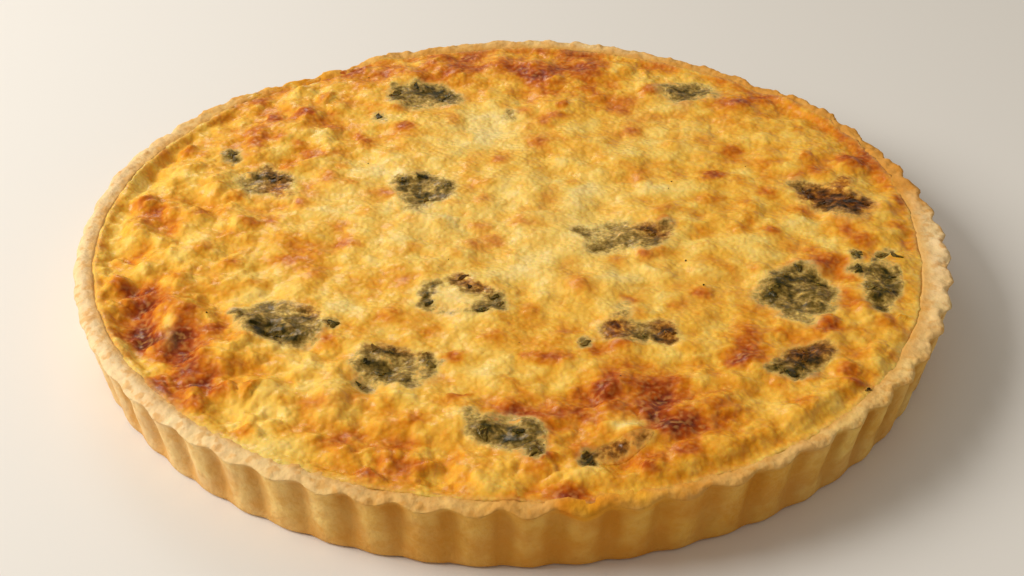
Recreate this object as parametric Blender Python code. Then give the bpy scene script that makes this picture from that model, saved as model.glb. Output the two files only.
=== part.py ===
"""Spinach pie: an uncut round pie, baked in a shallow fluted pastry case.

The case stands on z = 0 with its axis on +Z, and the front is at -Y. The pastry case, the egg
and cheese filling, and each clump of spinach that shows in its top are separate solids. A
bearing is an angle round the axis in degrees, from 0 at the front, growing towards +X.
"""
import math
import random

import bmesh
import bpy
from mathutils import Vector, noise
from mathutils.geometry import delaunay_2d_cdt

MM = 0.001

# Pastry case, driving dimensions in mm
PIE_DIAMETER = 260.0        # over the flute tips, at the rim
RIM_HEIGHT = 22.0           # usual height of the rim above the underside
FOOT_DIAMETER = 251.6       # over the flute tips, at the underside
BASE_THICKNESS = 4.5
FLUTES = 62
FIRST_FLUTE_BEARING = 2.0
FLUTE_DEPTH = 2.0           # from a flute's tip to the bottom of the groove beside it
GROOVE_ROUNDING = 0.25      # 0 is a row of half rounds with a sharp crease between them
FLUTE_WANDER = 0.45         # degrees that a flute strays from its even place
FADE_HEIGHT = 7.0           # below this the flutes grow shallower, down to the underside
FOOT_DEPTH_SHARE = 0.35     # the share of their depth that is left there
FOOT_ROUNDING = 0.8
LIP_ROUNDING = 1.0
SHOULDER_DROP = 5.0         # the inner wall turns steeper this far below the usual rim
FLOOR_LEAN = 2.5            # how far the inner wall comes in from there down to the base
GAP = 0.35                  # between solids that touch

# Flutes and rim, by bearing: centre, half width (degrees), amount (mm)
DEPTH_CHANGES = ((-78, 24, -0.7), (78, 20, -0.7))
RIM_WIDTH = 5.2
WIDER_RIM = ((-25, 38, 1.3), (80, 27, 3.2), (245, 18, 1.8))
CREST_CRAG = 0.35
CREST_CHANGES = (
    (213, 13, -3.4),        # slumped stretch, back left
    (172, 16, 1.3), (137, 3, -1.4), (128, 9, 1.2), (255, 8, 1.1), (60, 8, -0.5), (20, 9, -0.6),
    (202, 2.5, 1.3),        # small lump at the slump's end
)
WALL_LEAN = 1.6
MORE_WALL_LEAN = ((-92, 48, 2.6),)

# Filling: the level of its edge against the usual rim, and of its top inside that, mm
EDGE_DROP = 1.1
EDGE_CHANGES = ((-95, 42, -1.7), (213, 14, -0.4), (10, 25, 0.5))
EDGE_ROUNDING = 1.3
MIDDLE_DROP = 1.5
PUFFED_RING = 1.1           # height of the low swell that runs round inside the edge
PUFFED_RING_RADIUS = 106.0
PUFFED_RING_REACH = 13.0
WAVE_HEIGHT, WAVE_SIZE = 1.1, 21.0
NODULE_HEIGHT, NODULE_SIZE = 0.9, 8.0
POINT_SPACING = 4.3         # between the points of the top's mesh
POINT_STRAY = 0.6
EDGE_POINTS = FLUTES * 2
SEED = 7

# Rises and hollows of the top: from x, y, to x, y, reach, height, all mm
RELIEF = (
    (45, -111, 76, -93, 7, 1.7), (76, -93, 107, -60, 7, 1.5),       # roll of cheese, front right
    (22, -113, 40, -104, 4, -1.3),                                  # crease behind that roll
    (-106, -34, -101, -58, 6, -1.8), (-88, -62, -82, -78, 6, -1.4), # browned hollows, left
    (-97, -36, -93, -62, 5, 1.2), (-78, -66, -74, -82, 4, 0.9),     # banks on their inner side
    (-44, -99, -24, -108, 9, -1.8), (-45, -86, -45, -86, 8, 1.3),   # hollow and bump, front left
    (30, -78, 44, -96, 10, 1.2), (54, -84, 54, -84, 7, 1.0),        # browned swell, front
    (64, -56, 64, -66, 5, 0.9), (38, -88, 38, -96, 4, -1.0),
    (8, 104, 30, 108, 9, 1.2), (-62, 103, -8, 108, 7, 1.0),         # browned swells, back
    (25, 86, 25, 86, 10, 0.8), (80, 81, 80, 81, 9, 0.9), (71, 50, 71, 50, 6, -0.8),
    (-8, 65, -8, 65, 12, -1.0), (-10, 0, 15, 25, 26, -0.6),         # pale dips in the middle
    (-109, 4, -109, 20, 6, 0.8), (111, 40, 111, 40, 5, 0.9), (93, -17, 93, -17, 5, 0.8),
)

# Spinach clumps, back to front: x, y, length, width (mm), turn of the length from +X (degrees)
SPINACH = (
    (61, 91, 20, 17, 30), (-31, 88, 24, 19, 10), (-78, 28, 20, 16, -20),
    (-28, 25, 20, 22, 0), (101, 17, 24, 18, -35), (34, -2, 29, 17, -10),
    (82, -34, 22, 25, 0), (107, -29, 25, 13, 80), (-14, -37, 24, 18, -15),
    (35, -54, 25, 13, -12), (-64, -48, 27, 20, -18), (-30, -69, 24, 18, 0),
    (78, -68, 20, 12, 30), (0, -99, 25, 15, -40), (27, -106, 22, 7, 27),
)
CLUMP_RISE = 1.3            # the middle of a clump above the filling round it
CLUMP_DEPTH = 3.6           # how far it goes down into the filling
CLUMP_CRAG = 0.8
CLUMP_RAGGED = 0.16         # how far its outline strays, as a share of its radius
CLUMP_POINTS = 16
CLUMP_RINGS = (0.72, 0.4)   # the rings inside its outline, as shares of its radius
CLUMP_MARGIN = 2.0          # bare ring round a pocket in the mesh of the top

CRUST_COLOUR = (0.76, 0.47, 0.19)
FILLING_COLOUR = (0.83, 0.50, 0.10)
SPINACH_COLOUR = (0.055, 0.062, 0.030)


def bell(distance, reach):
    """1 at no distance, falling smoothly to nothing past the reach."""
    return math.exp(-(distance / reach) ** 2)


def by_bearing(bearing, changes):
    """The sum of changes, each a centre, a half width and an amount, at a bearing."""
    total = 0.0
    for centre, half_width, amount in changes:
        away = (bearing - centre + 180.0) % 360.0 - 180.0
        total += amount * bell(away, half_width)
    return total


def around(bearing, radius, height):
    """The point at a bearing, a radius from the axis and a height, all in mm."""
    angle = math.radians(bearing)
    return Vector((radius * math.sin(angle), -radius * math.cos(angle), height))


def rim_noise(bearing, waves):
    """Smooth noise from -1 to 1 that closes up after a full turn."""
    return noise.noise(around(bearing, waves, 0.0))


# ---------------------------------------------------------------- the pastry case

def flute_radius(bearing, height):
    """The fluted outer wall, which leans out from foot to rim."""
    strayed = bearing + FLUTE_WANDER * rim_noise(bearing, 4.0)
    turn = math.radians(FLUTES * (strayed - FIRST_FLUTE_BEARING) / 2)
    depth = FLUTE_DEPTH * (1 + 0.2 * rim_noise(bearing + 90.0, 6.0)) + by_bearing(bearing, DEPTH_CHANGES)
    depth *= FOOT_DEPTH_SHARE + (1 - FOOT_DEPTH_SHARE) * min(height / FADE_HEIGHT, 1.0)
    tips = (FOOT_DIAMETER + (PIE_DIAMETER - FOOT_DIAMETER) * min(height / RIM_HEIGHT, 1.0)) / 2
    sharp = GROOVE_ROUNDING ** 2
    bulge = math.sqrt(sharp + (1 - sharp) * math.cos(turn) ** 2)
    return tips - depth * (1 - bulge) / (1 - GROOVE_ROUNDING)


def crest_height(bearing):
    return RIM_HEIGHT + by_bearing(bearing, CREST_CHANGES) + CREST_CRAG * rim_noise(bearing, 14.0)


def mouth_radius(bearing):
    """The inner edge of the rim's top."""
    width = RIM_WIDTH + by_bearing(bearing, WIDER_RIM) + 0.5 * rim_noise(bearing, 9.0)
    return PIE_DIAMETER / 2 - width


def wall_profile(bearing):
    """The inner wall from the base up to the rim, as (radius, height) pairs."""
    mouth = mouth_radius(bearing)
    shoulder = mouth - WALL_LEAN - by_bearing(bearing, MORE_WALL_LEAN)
    return (
        (shoulder - FLOOR_LEAN, BASE_THICKNESS),
        (shoulder, RIM_HEIGHT - SHOULDER_DROP),
        (mouth, crest_height(bearing) - LIP_ROUNDING),
    )


def wall_radius(bearing, height):
    """The inner wall's radius at a height."""
    profile = wall_profile(bearing)
    for (low_radius, low), (high_radius, high) in zip(profile, profile[1:]):
        if height <= high:
            share = (height - low) / (high - low)
            return low_radius + share * (high_radius - low_radius)
    return profile[-1][0]


def ring(mesh, count, place):
    """A closed ring of vertices, each at place(bearing) in mm."""
    return [mesh.verts.new(place(360.0 * i / count) * MM) for i in range(count)]


def stitch(mesh, low, high):
    """A band of triangles between two rings, which may differ in their number of points."""
    i = j = 0
    while i < len(low) or j < len(high):
        a, b = low[i % len(low)], high[j % len(high)]
        if j == len(high) or (i < len(low) and (i + 1) * len(high) <= (j + 1) * len(low)):
            i += 1
            mesh.faces.new((a, low[i % len(low)], b))
        else:
            j += 1
            mesh.faces.new((a, high[j % len(high)], b))


def crust_outline(bearing):
    """The case's section at a bearing, from the foot over the rim to the base inside."""
    crest = crest_height(bearing)
    inside = wall_profile(bearing)
    outer = flute_radius(bearing, crest)
    return (
        (flute_radius(bearing, 0.0) - FOOT_ROUNDING, 0.0),
        (flute_radius(bearing, FOOT_ROUNDING), FOOT_ROUNDING),
        (flute_radius(bearing, FADE_HEIGHT), FADE_HEIGHT),
        (outer, crest - LIP_ROUNDING),
        (outer - LIP_ROUNDING, crest),
        (inside[2][0] + LIP_ROUNDING, crest - 0.1 * LIP_ROUNDING),
        inside[2],
        inside[1],
        inside[0],
    )


def make_crust():
    """The pastry case: base, fluted wall and rim in one solid."""
    mesh = bmesh.new()
    counts = (FLUTES * 6,) * 7 + (FLUTES * 3,) * 2
    rings = []
    for k, count in enumerate(counts):
        rings.append(ring(mesh, count, lambda b, k=k: around(b, *crust_outline(b)[k])))
    for low, high in zip(rings, rings[1:]):
        stitch(mesh, low, high)
    mesh.faces.new(rings[0])
    mesh.faces.new(rings[-1])
    return finish(mesh, "crust", CRUST_COLOUR, 0.75)


# ---------------------------------------------------------------- the filling

def segment_distance(x, y, x1, y1, x2, y2):
    """How far a point lies from the straight line between two others."""
    along = Vector((x2 - x1, y2 - y1))
    towards = Vector((x - x1, y - y1))
    share = towards.dot(along) / along.length_squared if along.length_squared else 0.0
    return (towards - along * min(max(share, 0.0), 1.0)).length


def edge_height(bearing):
    """The level of the filling where it meets the case."""
    return RIM_HEIGHT - EDGE_DROP + by_bearing(bearing, EDGE_CHANGES)


def edge_radius(bearing):
    return wall_radius(bearing, edge_height(bearing)) - GAP


def top_height(x, y):
    """The filling's top: low in the middle, puffed towards the edge, uneven all over."""
    bearing = math.degrees(math.atan2(x, -y))
    radius = math.hypot(x, y)
    share = min(radius / edge_radius(bearing), 1.0)
    edge = edge_height(bearing)
    middle = RIM_HEIGHT - MIDDLE_DROP
    height = middle + (edge - middle) * share ** 6
    height += PUFFED_RING * bell(radius - PUFFED_RING_RADIUS, PUFFED_RING_REACH)
    height += WAVE_HEIGHT * noise.noise(Vector((x, y, 3.0)) / WAVE_SIZE)
    height += NODULE_HEIGHT * noise.noise(Vector((x, y, 40.0)) / NODULE_SIZE)
    for x1, y1, x2, y2, reach, amount in RELIEF:
        height += amount * bell(segment_distance(x, y, x1, y1, x2, y2), reach)
    calm = min((edge_radius(bearing) - radius) / 6.0, 1.0)
    return edge + (height - edge) * max(calm, 0.0)


def strewn_points(clumps):
    """Points of the top's mesh inside its edge, clear of the clumps: (x, y) pairs in mm."""
    rng = random.Random(SEED)
    reach = PIE_DIAMETER / 2 - RIM_WIDTH
    steps = round(reach / POINT_SPACING)
    points = []
    for step in range(1, steps + 1):
        share = 1 - step / steps
        count = max(1, round(2 * math.pi * share * reach / POINT_SPACING))
        for i in range(count):
            bearing = 360.0 * (i + 0.5 * (step % 2)) / count
            radius = share * (edge_radius(bearing) - EDGE_ROUNDING)
            place = around(bearing, radius, 0.0)
            x = place.x + POINT_STRAY * rng.uniform(-1, 1)
            y = place.y + POINT_STRAY * rng.uniform(-1, 1)
            if not any(clump.covers(x, y, CLUMP_MARGIN) for clump in clumps):
                points.append((x, y))
    return points


def span(mesh, edge, pockets, clumps):
    """Fill the top between its edge ring and the rings of the clumps' pockets."""
    fixed = edge + [vertex for pocket in pockets for vertex in pocket]
    places = [(vertex.co.x / MM, vertex.co.y / MM) for vertex in fixed]
    places += strewn_points(clumps)
    lines, start = [], 0
    for loop in [edge] + pockets:
        lines += [(start + i, start + (i + 1) % len(loop)) for i in range(len(loop))]
        start += len(loop)
    outline = list(range(len(edge)))
    flat = [Vector(place) for place in places]
    found, _, faces, origins, _, _ = delaunay_2d_cdt(flat, lines, [outline], 1, 1e-5)
    vertices = []
    for place, origin in zip(found, origins):
        known = [i for i in origin if i < len(fixed)]
        if known:
            vertices.append(fixed[known[0]])
        else:
            vertices.append(mesh.verts.new(Vector((*place, top_height(*place))) * MM))
    for face in faces:
        x = sum(found[i].x for i in face) / 3
        y = sum(found[i].y for i in face) / 3
        if not any(clump.covers(x, y, GAP / 2) for clump in clumps):
            mesh.faces.new([vertices[i] for i in face])


def make_filling(clumps):
    """The egg and cheese filling: solid down to the base, with a pocket for each clump."""
    mesh = bmesh.new()

    def on_wall(bearing, height):
        return around(bearing, wall_radius(bearing, height) - GAP, height)

    places = (
        lambda bearing: on_wall(bearing, BASE_THICKNESS + GAP),
        lambda bearing: on_wall(bearing, RIM_HEIGHT - SHOULDER_DROP),
        lambda bearing: on_wall(bearing, edge_height(bearing) - EDGE_ROUNDING),
        lambda bearing: around(bearing, edge_radius(bearing) - EDGE_ROUNDING, edge_height(bearing)),
    )
    rings = [ring(mesh, EDGE_POINTS, place) for place in places]
    for low, high in zip(rings, rings[1:]):
        stitch(mesh, low, high)
    mesh.faces.new(rings[0])
    pockets = [bowl(mesh, clump, -1, GAP) for clump in clumps]
    span(mesh, rings[-1], pockets, clumps)
    return finish(mesh, "filling", FILLING_COLOUR, 0.45)


# ---------------------------------------------------------------- the spinach

class Clump:
    """A ragged lump of leaves, lens-shaped, that sits in a pocket of the filling's top."""

    def __init__(self, index, x, y, length, width, turn):
        self.index = index
        self.x, self.y = x, y
        self.half_length, self.half_width = length / 2, width / 2
        self.lean = math.radians(turn)

    def ragged(self, angle):
        """How far the outline strays from its oval at an angle, as a factor."""
        round_it = Vector((1.3 * math.cos(angle), 1.3 * math.sin(angle), 9.0 * self.index))
        return 1 + CLUMP_RAGGED * noise.noise(round_it)

    def place(self, angle, share, side, gap):
        """A point of the upper (+1) or lower (-1) face, at a share of the way to the outline."""
        along = (self.half_length * self.ragged(angle) + gap) * share * math.cos(angle)
        across = (self.half_width * self.ragged(angle) + gap) * share * math.sin(angle)
        x = self.x + along * math.cos(self.lean) - across * math.sin(self.lean)
        y = self.y + along * math.sin(self.lean) + across * math.cos(self.lean)
        crag = CLUMP_CRAG * noise.noise(Vector((x, y, 80.0)) / 3.5)
        rise = CLUMP_RISE + crag if side > 0 else -CLUMP_DEPTH - gap
        return Vector((x, y, top_height(x, y) + rise * (1 - share ** 2)))

    def covers(self, x, y, margin):
        """Whether a point of the top lies inside the outline grown by a margin."""
        dx, dy = x - self.x, y - self.y
        along = dx * math.cos(self.lean) + dy * math.sin(self.lean)
        across = dy * math.cos(self.lean) - dx * math.sin(self.lean)
        angle = math.atan2(across / self.half_width, along / self.half_length)
        reach = self.ragged(angle)
        share = math.hypot(
            along / (self.half_length * reach + margin), across / (self.half_width * reach + margin))
        return share < 1.0


def bowl(mesh, clump, side, gap, outline=None):
    """One face of a clump, or with a gap the pocket under it. Returns its outline's ring."""
    def face_ring(share):
        count = max(6, round(CLUMP_POINTS * share))
        return ring(mesh, count, lambda b: clump.place(math.radians(b), share, side, gap))

    rings = [outline or face_ring(1.0)]
    rings += [face_ring(share) for share in CLUMP_RINGS]
    for low, high in zip(rings, rings[1:]):
        stitch(mesh, low, high)
    hub = mesh.verts.new(clump.place(0.0, 0.0, side, gap) * MM)
    last = rings[-1]
    for a, b in zip(last, last[1:] + last[:1]):
        mesh.faces.new((a, b, hub))
    return rings[0]


def make_clump(clump):
    mesh = bmesh.new()
    outline = bowl(mesh, clump, 1, 0.0)
    bowl(mesh, clump, -1, 0.0, outline)
    return finish(mesh, f"spinach_{clump.index:02d}", SPINACH_COLOUR, 0.5)


# ---------------------------------------------------------------- materials and scene

def material(name, colour, roughness):
    made = bpy.data.materials.new(name)
    made.use_nodes = True
    shader = made.node_tree.nodes["Principled BSDF"]
    shader.inputs["Base Color"].default_value = (*colour, 1.0)
    shader.inputs["Roughness"].default_value = roughness
    shader.inputs["Metallic"].default_value = 0.0
    return made


def finish(mesh, name, colour, roughness):
    """Turn a bmesh into a named object with its own material."""
    bmesh.ops.recalc_face_normals(mesh, faces=mesh.faces)
    data = bpy.data.meshes.new(name)
    mesh.to_mesh(data)
    mesh.free()
    data.shade_smooth()
    data.set_sharp_from_angle(angle=math.radians(50))
    data.materials.append(material(name, colour, roughness))
    made = bpy.data.objects.new(name, data)
    bpy.context.scene.collection.objects.link(made)
    return made


def main():
    for thing in list(bpy.data.objects):
        bpy.data.objects.remove(thing)
    clumps = [Clump(index, *sizes) for index, sizes in enumerate(SPINACH, start=1)]
    make_crust()
    make_filling(clumps)
    for clump in clumps:
        make_clump(clump)


main()
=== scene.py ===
"""Spinach pie: the looks of an uncut pie in its fluted pastry case.

Lengths are in mm until a mesh is made. A bearing is an angle round the pie's axis in degrees,
from 0 at the front (-Y), growing towards +X.
"""
import math

import bmesh
import bpy
import numpy as np
from mathutils import Matrix, Vector, noise


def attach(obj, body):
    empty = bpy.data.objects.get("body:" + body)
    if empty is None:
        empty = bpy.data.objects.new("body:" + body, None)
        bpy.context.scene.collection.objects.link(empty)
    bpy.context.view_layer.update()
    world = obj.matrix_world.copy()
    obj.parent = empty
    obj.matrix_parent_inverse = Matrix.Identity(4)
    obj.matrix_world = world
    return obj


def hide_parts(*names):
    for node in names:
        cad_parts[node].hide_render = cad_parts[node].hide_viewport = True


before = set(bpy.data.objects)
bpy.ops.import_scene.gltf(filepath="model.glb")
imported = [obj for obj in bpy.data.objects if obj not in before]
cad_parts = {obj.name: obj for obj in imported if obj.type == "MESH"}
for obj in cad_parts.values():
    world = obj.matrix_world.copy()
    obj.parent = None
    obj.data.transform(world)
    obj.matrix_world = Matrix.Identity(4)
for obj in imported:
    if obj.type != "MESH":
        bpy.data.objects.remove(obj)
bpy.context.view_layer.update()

MM = 0.001
SEED = 11

# ---------------------------------------------------------------- the pie's own sizes

PIE_DIAMETER = 260.0        # across the flute tips at the rim
RIM_HEIGHT = 22.0
FOOT_DIAMETER = 251.6       # across the flute tips at the foot
BASE_THICKNESS = 4.5
FLUTES = 62
FIRST_FLUTE_BEARING = 2.0
FLUTE_DEPTH = 2.0
GROOVE_ROUNDING = 0.25
FLUTE_WANDER = 0.45         # how far a flute strays from its even place, degrees
FADE_HEIGHT = 7.0           # the flutes have their full depth from here up
FOOT_DEPTH_SHARE = 0.35     # and this share of it at the foot
FOOT_ROUNDING = 0.8
LIP_ROUNDING = 1.0
SHOULDER_DROP = 5.0         # the inner wall leans out above this depth below the rim
FLOOR_LEAN = 2.5            # how far the inner wall leans in at the base

# By bearing: centre, half width (degrees), amount (mm)
DEPTH_CHANGES = ((-78, 24, -0.7), (78, 20, -0.7))
RIM_WIDTH = 5.2
WIDER_RIM = ((-25, 38, 1.3), (80, 27, 3.2), (245, 18, 1.8))
CREST_CRAG = 0.35
CREST_CHANGES = (
    (213, 13, -3.4),
    (172, 16, 1.3), (137, 3, -1.4), (128, 9, 1.2), (255, 8, 1.1), (60, 8, -0.5), (20, 9, -0.6),
    (202, 2.5, 1.3),
)
WALL_LEAN = 1.6
MORE_WALL_LEAN = ((-92, 48, 2.6),)
EDGE_DROP = 1.1             # how far the filling's edge lies below the rim
EDGE_CHANGES = ((-95, 42, -1.7), (213, 14, -0.4), (10, 25, 0.5))
MIDDLE_DROP = 1.5           # how far its middle does
PUFFED_RING, PUFFED_RING_RADIUS, PUFFED_RING_REACH = 1.1, 106.0, 13.0
WAVE_HEIGHT, WAVE_SIZE = 1.1, 21.0
SWELL_HEIGHT, SWELL_SIZE = 0.9, 8.0

# Rises and hollows of the top: from x, y, to x, y, reach, height, all mm
RELIEF = (
    (45, -111, 76, -93, 7, 1.7), (76, -93, 107, -60, 7, 1.5),
    (22, -113, 40, -104, 4, -1.3),
    (-106, -34, -101, -58, 6, -1.8), (-88, -62, -82, -78, 6, -1.4),
    (-97, -36, -93, -62, 5, 1.2), (-78, -66, -74, -82, 4, 0.9),
    (-44, -99, -24, -108, 9, -1.8), (-45, -86, -45, -86, 8, 1.3),
    (30, -78, 44, -96, 10, 1.2), (54, -84, 54, -84, 7, 1.0),
    (64, -56, 64, -66, 5, 0.9), (38, -88, 38, -96, 4, -1.0),
    (8, 104, 30, 108, 9, 1.2), (-62, 103, -8, 108, 7, 1.0),
    (25, 86, 25, 86, 10, 0.8), (80, 81, 80, 81, 9, 0.9), (71, 50, 71, 50, 6, -0.8),
    (-8, 65, -8, 65, 12, -1.0), (-10, 0, 15, 25, 26, -0.6),
    (-109, 4, -109, 20, 6, 0.8), (111, 40, 111, 40, 5, 0.9), (93, -17, 93, -17, 5, 0.8),
)

# Spinach clumps, back to front: x, y, length, width (mm), turn of the length (degrees)
SPINACH = (
    (61, 91, 20, 17, 30), (-31, 88, 24, 19, 10), (-78, 28, 20, 16, -20),
    (-28, 25, 20, 22, 0), (101, 17, 24, 18, -35), (34, -2, 29, 17, -10),
    (82, -34, 22, 25, 0), (107, -29, 25, 13, 80), (-14, -37, 24, 18, -15),
    (35, -54, 25, 13, -12), (-64, -48, 27, 20, -18), (-30, -69, 24, 18, 0),
    (78, -68, 20, 12, 30), (0, -99, 25, 15, -40), (27, -106, 22, 7, 27),
)
CLUMP_RAGGED = 0.16

# Leaves that show, back to front: from x, y, to x, y, reach (mm), how bare of custard
LEAVES = (
    (54, 93, 60, 90, 4.5, 0.42), (63, 91, 69, 88, 3.5, 0.4), (57, 84, 58, 79, 3, 0.25),
    (-33, 92, -27, 91, 3.2, 0.95), (-27, 91, -22, 86, 3.4, 1.0), (-41, 92, -41, 83, 1.6, 0.75),
    (-37, 88, -34, 82, 4.5, 0.4), (-46, 74, -45, 70, 1.8, 0.6), (-92, 46, -91, 42, 2.0, 0.95),
    (-79, 36, -78, 33, 2.2, 0.6), (-80, 31, -73, 30, 2.4, 0.85), (-75, 24, -72, 21, 3.0, 0.45),
    (-85, 29, -81, 23, 3.0, 0.4), (-36, 30, -34, 26, 2.0, 0.9), (-29, 34, -27, 31, 1.7, 0.8),
    (-21, 28, -22, 21, 2.5, 0.8), (-29, 22, -28, 18, 1.8, 0.8), (-31, 28, -30, 14, 4.5, 0.42),
    (90, 27, 93, 23, 2.2, 0.8), (95, 20, 104, 10, 4.4, 0.95), (104, 16, 110, 14, 2.4, 0.85),
    (104, 26, 106, 29, 2.4, 0.45), (20, 1, 22, -2, 1.8, 0.7), (25, -9, 30, -8, 3.0, 0.6),
    (41, 2, 42, -4, 2.2, 0.8), (47, 3, 46, -2, 1.8, 0.7), (32, 4, 34, -4, 3.0, 0.35),
    (43, -7, 39, -10, 2.4, 0.4), (73, -36, 77, -29, 3.2, 1.0), (79, -26, 84, -22, 2.6, 0.8),
    (86, -27, 90, -31, 2.8, 0.8), (81, -34, 88, -36, 3.4, 0.6), (78, -42, 88, -43, 2.4, 0.7),
    (78, -46, 82, -49, 2.6, 0.45), (101, -14, 101, -18, 0.9, 0.8), (111, -13, 107, -18, 0.9, 0.85),
    (100, -23, 106, -25, 1.8, 0.9), (109, -25, 108, -34, 1.9, 0.95), (103, -33, 104, -42, 2.4, 1.0),
    (-15, -27, -12, -33, 2.2, 0.75), (-24, -31, -16, -28, 1.2, 0.5), (-25, -35, -24, -41, 1.1, 0.85),
    (-9, -44, -8, -44, 1.3, 1.0), (-5, -37, -4, -41, 1.8, 0.85), (-8, -42, -4, -43, 1.6, 0.6),
    (-23, -43, -11, -46, 1.0, 0.3), (-25, -40, -24, -32, 1.4, 0.4), (-10, -31, -3, -36, 1.0, 0.35),
    (29, -51, 28, -55, 2.8, 0.6), (35, -55, 39, -56, 1.6, 0.85), (42, -51, 43, -57, 2.2, 0.95),
    (20, -58, 20, -60, 1.3, 0.7), (31, -45, 32, -40, 2.4, 0.35), (-72, -51, -57, -57, 3.2, 0.7),
    (-70, -54, -62, -57, 2.4, 0.95), (-69, -41, -67, -44, 1.6, 0.7), (-78, -45, -76, -47, 1.2, 0.7),
    (-50, -50, -50, -51, 1.2, 0.9), (-60, -50, -56, -47, 2.2, 0.6), (-37, -62, -30, -64, 1.9, 0.85),
    (-39, -68, -33, -73, 3.3, 0.95), (-40, -77, -38, -79, 1.7, 0.8), (-23, -65, -21, -68, 1.7, 0.75),
    (-30, -76, -26, -78, 1.7, 0.6), (-28, -70, -22, -74, 3.2, 0.25), (77, -65, 84, -63, 2.8, 1.0),
    (79, -67, 77, -71, 3.0, 0.95), (70, -72, 76, -74, 1.7, 0.85), (-11, -91, -8, -97, 2.0, 0.5),
    (-9, -99, -2, -102, 1.8, 0.85), (-2, -98, 3, -101, 3.0, 0.85), (0, -103, 5, -105, 2.2, 0.65),
    (5, -107, 6, -109, 1.5, 0.9), (4, -95, 6, -99, 1.8, 0.5), (19, -108, 19, -112, 1.3, 1.0),
    (18, -109, 25, -106, 1.7, 0.3), (25, -106, 34, -102, 1.4, 0.4), (-1, 73, -1, 77, 2.4, 0.42),
)

# Browned places of the top: from x, y, to x, y, reach (mm), depth of the browning
BROWNED = (
    (-106, -36, -101, -57, 6.5, 0.6), (-91, -60, -82, -78, 6, 0.56), (-44, -100, -28, -107, 7, 0.4),
    (-57, -86, -50, -88, 5, 0.26), (29, -76, 44, -95, 11, 0.34), (38, -88, 40, -97, 5, 0.22),
    (2, -90, 22, -92, 9, 0.16), (54, -84, 56, -90, 5, 0.28), (64, -56, 63, -67, 4.5, 0.4),
    (8, 104, 30, 107, 8, 0.36), (12, 102, 14, 105, 5, 0.22), (-66, 102, -5, 107, 7, 0.2),
    (-20, 113, 4, 112, 6, 0.18), (-12, 104, -9, 98, 5, 0.18), (14, 87, 36, 84, 8, 0.2),
    (77, 80, 86, 86, 7, 0.22), (-66, 47, -56, 47, 4, 0.26), (-108, 4, -108, 14, 6, 0.15),
    (-112, -14, -112, 16, 5, 0.1), (-96, -70, -78, -88, 6, 0.16), (-84, 62, -64, 72, 7, 0.14),
)
# Raised browned nodules: x, y, reach (mm), depth of the browning
NODULES = (
    (93, -18, 5, 0.36), (87, -54, 4, 0.32), (20, -33, 3.5, 0.34), (-34, -45, 4, 0.34), (-49, -8, 4, 0.3),
    (62, 33, 4, 0.3), (-57, -24, 4, 0.28), (-74, 4, 3.5, 0.28), (-90, -46, 3, 0.28), (9, -67, 3, 0.28),
    (-81, -54, 3, 0.28), (104, -49, 4, 0.26), (89, 11, 4, 0.28), (79, -1, 3, 0.28), (69, 1, 3, 0.22),
    (-33, -86, 3, 0.25), (7, 56, 4, 0.26), (-46, 11, 3, 0.25), (-84, 58, 5.5, 0.26), (-91, -12, 3, 0.24),
    (60, 18, 3.5, 0.24), (109, 40, 5, 0.34), (74, -54, 3, 0.24), (-10, 89, 5, 0.24), (0, -88, 3.5, 0.22),
    (8, -113, 4, 0.24), (33, -112, 4, 0.25), (-32, 7, 3, 0.22), (64, -21, 3, 0.2), (-66, -15, 5, 0.22),
    (-3, 45, 3.5, 0.2), (44, -77, 3, 0.22), (40, 31, 3, 0.2), (14, -55, 3, 0.2), (5, -43, 3, 0.2),
    (54, -44, 3, 0.2), (10, 23, 5, 0.2), (72, 50, 4, 0.2), (95, -35, 3, 0.2), (-62, 64, 3, 0.2),
    (77, 80, 3.5, 0.2), (-25, -95, 3, 0.18), (-53, 2, 3, 0.18), (-31, -27, 3, 0.18), (37, 77, 3, 0.18),
    (45, -11, 3, 0.2), (58, -15, 3, 0.16), (101, -1, 3, 0.18), (-59, 81, 4, 0.18), (33, -1, 2.5, 0.25),
    (39, -16, 3, 0.16), (-79, -45, 3, 0.18), (-30, 111, 5, 0.16), (-44, 107, 5, 0.16), (59, 56, 5, 0.14),
    (-23, 62, 4, 0.15), (26, 39, 3, 0.15), (-64, 12, 3, 0.15), (45, -39, 3, 0.14), (21, -63, 3, 0.16),
    (-85, 80, 4, 0.15), (50, 94, 3, 0.16), (84, 41, 4, 0.14), (-102, 43, 3, 0.16), (-93, 28, 3, 0.14),
)
# Pale places, the same way
PALE = (
    (-8, 65, -8, 65, 16, 0.7), (-20, 5, 15, 10, 26, 0.45), (-45, -87, -45, -87, 8, 0.3),
    (10, -20, 40, -25, 16, 0.25), (60, 60, 60, 60, 12, 0.2), (40, 60, 45, 75, 12, 0.25),
    (-60, 20, -40, 40, 14, 0.2), (80, -12, 66, -28, 8, 0.2), (-16, -37, -12, -38, 7, 0.8),
    (27, -98, 33, -96, 2.0, 1.2), (-95, -51, -93, -61, 1.6, 0.9), (-107, -59, -100, -67, 1.6, 0.8),
)
# Melted cheese on the rim, the same way
SPILLS = ((13, -127, 17, -127, 3.2, 1.0), (20, -126, 31, -122, 3.0, 0.8), (31, -124, 44, -119, 2.0, 0.4))
# By bearing: centre, half width (degrees), depth of the rim's browning
TOASTED_RIM = (
    (128, 31, 1.05), (196, 12, 0.55), (104, 8, 0.6), (240, 14, 0.3), (6, 26, 0.75), (87, 10, -0.4),
)
# By bearing: how pale the pastry is painted, partly pastry that stayed pale and partly painted light where
# more light falls on the left side and the front right
PALE_AND_LIT_CRUST = ((-64, 42, 1.0), (84, 18, 0.75), (50, 25, 0.15), (255, 20, 0.4), (170, 14, 0.4))
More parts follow.
